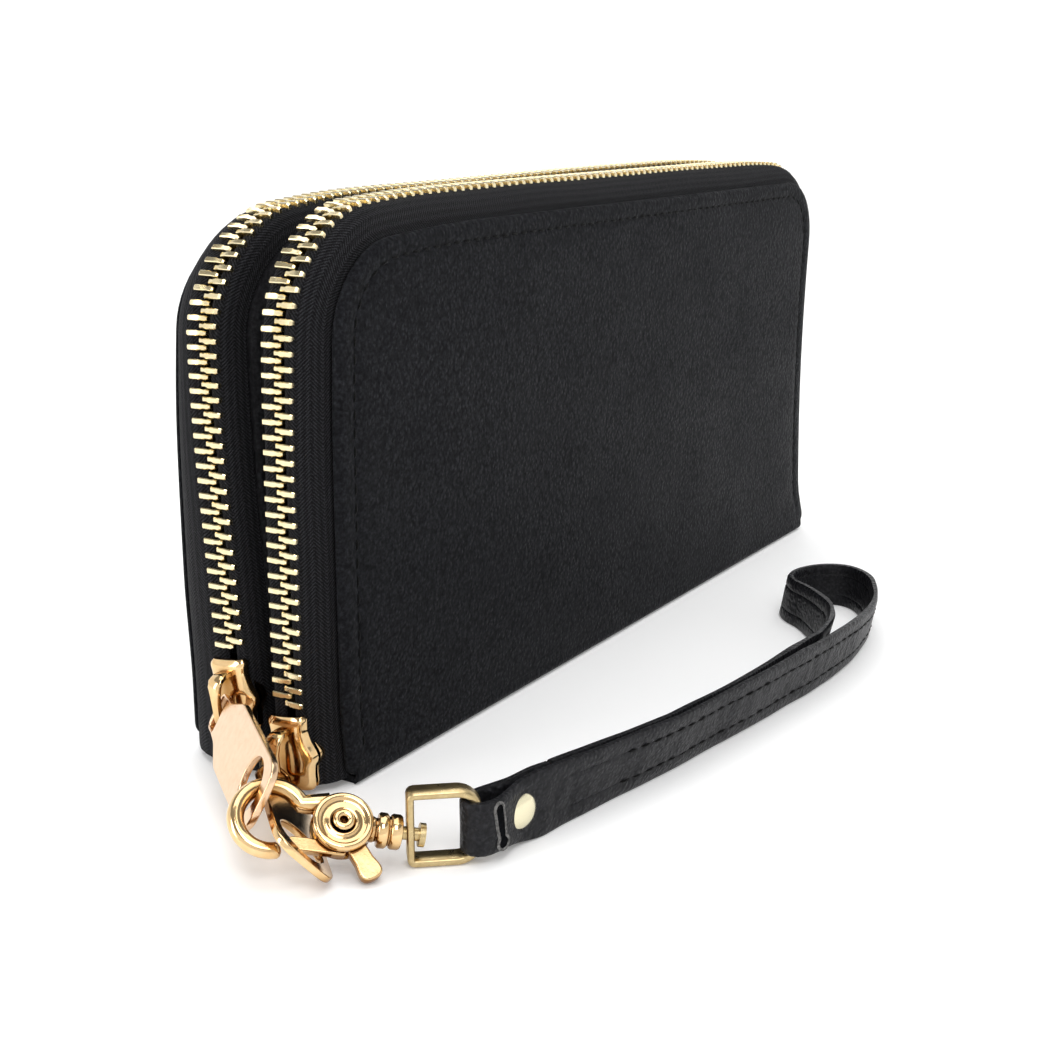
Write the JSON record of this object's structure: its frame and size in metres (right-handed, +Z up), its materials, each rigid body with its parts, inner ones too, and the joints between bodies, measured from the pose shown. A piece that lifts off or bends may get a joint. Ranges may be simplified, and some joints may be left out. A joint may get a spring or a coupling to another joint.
{
  "type": "wristlet wallet",
  "caption": "Black leather wristlet wallet with two zip-round compartments on one spine, gold zip sliders and pulls, and a riveted wrist strap on a swivel snap hook.",
  "frame": {"origin": "centre of the underside of the spine, on the surface the wallet stands on", "axes": "+X along the wallet away from the zip sliders, the front cover faces -Y, +Z up"},
  "size_m": [0.2371, 0.0845, 0.0966],
  "materials": {
    "black_leather": "fine grain, satin, tone-on-tone stitching",
    "black_lining": "plain woven lining",
    "board": "stiff fibre board, covered on both faces",
    "black_tape": "woven twill zip tape",
    "pale_gold_teeth": "pale gold plating, polished",
    "gold": "polished warm gold plating",
    "dark_gold": "darker brushed plating",
    "spring_steel": "spring wire"
  },
  "bodies": {
    "middle": {"spine_leather": "black_leather", "spine_lining": "black_lining", "divider_core": "board", "divider_front_lining": "black_lining", "divider_back_lining": "black_lining", "divider_welt": "black_leather", "front_inner_tape": "black_tape", "back_inner_tape": "black_tape", "front_inner_teeth": "pale_gold_teeth", "back_inner_teeth": "pale_gold_teeth", "front_end_stops": "pale_gold_teeth", "back_end_stops": "pale_gold_teeth", "card_slot_1": "black_lining", "card_slot_2": "black_lining", "card_slot_3": "black_lining", "coin_pocket": "black_lining"},
    "front_cover": {"front_leather": "black_leather", "front_board": "board", "front_lining": "black_lining", "front_slip_pocket": "black_lining", "front_outer_tape": "black_tape", "front_outer_teeth": "pale_gold_teeth", "front_left_gusset": "black_lining", "front_right_gusset": "black_lining"},
    "back_cover": {"back_leather": "black_leather", "back_board": "board", "back_lining": "black_lining", "back_slip_pocket": "black_lining", "back_outer_tape": "black_tape", "back_outer_teeth": "pale_gold_teeth", "back_left_gusset": "black_lining", "back_right_gusset": "black_lining"},
    "front_slider": {"front_slider_body": "gold", "front_slider_bridge": "gold"},
    "back_slider": {"back_slider_body": "gold", "back_slider_bridge": "gold"},
    "front_puller": {"front_puller": "gold"},
    "back_puller": {"back_puller": "gold"},
    "hook": {"hook_body": "gold", "gate_rivet": "gold", "gate_spring": "spring_steel", "swivel_stem": "dark_gold"},
    "gate": {"hook_gate": "gold"},
    "swivel_frame": {"strap_frame": "dark_gold"},
    "wrist_strap": {"strap": "black_leather", "strap_rivet_cap": "pale_gold_teeth", "strap_rivet_post": "pale_gold_teeth"}
  },
  "joints": [
    {"name": "front_cover_hinge", "type": "hinge", "parent": "middle", "child": "front_cover", "pos_m": [0, -0.0167, 0.0016], "axis": [1, 0, 0], "range_deg": [0, 50], "deforming": ["front_outer_tape", "front_outer_teeth", "front_left_gusset", "front_right_gusset"]},
    {"name": "back_cover_hinge", "type": "hinge", "parent": "middle", "child": "back_cover", "pos_m": [0, 0.0167, 0.0016], "axis": [-1, 0, 0], "range_deg": [0, 50], "deforming": ["back_outer_tape", "back_outer_teeth", "back_left_gusset", "back_right_gusset"]},
    {"name": "front_slide", "type": "slide", "parent": "middle", "child": "front_slider", "axis": [0, 0, 1], "range_m": [0, 0.025], "deforming": ["front_inner_tape", "front_outer_tape", "front_inner_teeth", "front_outer_teeth"]},
    {"name": "back_slide", "type": "slide", "parent": "middle", "child": "back_slider", "axis": [0, 0.0715, 0.9974], "range_m": [0, 0.025], "deforming": ["back_inner_tape", "back_outer_tape", "back_inner_teeth", "back_outer_teeth"]},
    {"name": "front_puller_swing", "type": "hinge", "parent": "front_slider", "child": "front_puller", "pos_m": [-0.1079, -0.0101, 0.0057], "axis": [0, 0, 1], "range_deg": [-4, 6]},
    {"name": "back_puller_swing", "type": "hinge", "parent": "back_slider", "child": "back_puller", "pos_m": [-0.1077, 0.0013, 0.013], "axis": [0, 0, 1], "range_deg": [-4, 6]},
    {"name": "hook_swing", "type": "hinge", "parent": "back_puller", "child": "hook", "pos_m": [-0.12458, -0.02038, 0.0119], "axis": [0, 0, 1], "range_deg": [-6, 4]},
    {"name": "gate_pivot", "type": "hinge", "parent": "hook", "child": "gate", "pos_m": [-0.1207, -0.0339, 0.007], "axis": [-0.4053, -0.529, 0.7456], "range_deg": [-20, 0], "stiffness_Nm_per_rad": 0.01, "springref_deg": 11.46},
    {"name": "swivel", "type": "hinge", "parent": "hook", "child": "swivel_frame", "pos_m": [-0.11419, -0.04164, 0.00505], "axis": [0.6325, -0.7511, -0.1891], "continuous": true},
    {"name": "strap_hinge", "type": "hinge", "parent": "swivel_frame", "child": "wrist_strap", "pos_m": [-0.10749, -0.04959, 0], "axis": [0, 0, 1], "range_deg": [-90, 6]}
  ],
  "couplings": [
    {"joint": "back_slide", "follows": "front_slide", "ratio": 1},
    {"joint": "front_puller_swing", "follows": "back_puller_swing", "ratio": 1},
    {"joint": "hook_swing", "follows": "back_puller_swing", "ratio": -1}
  ]
}
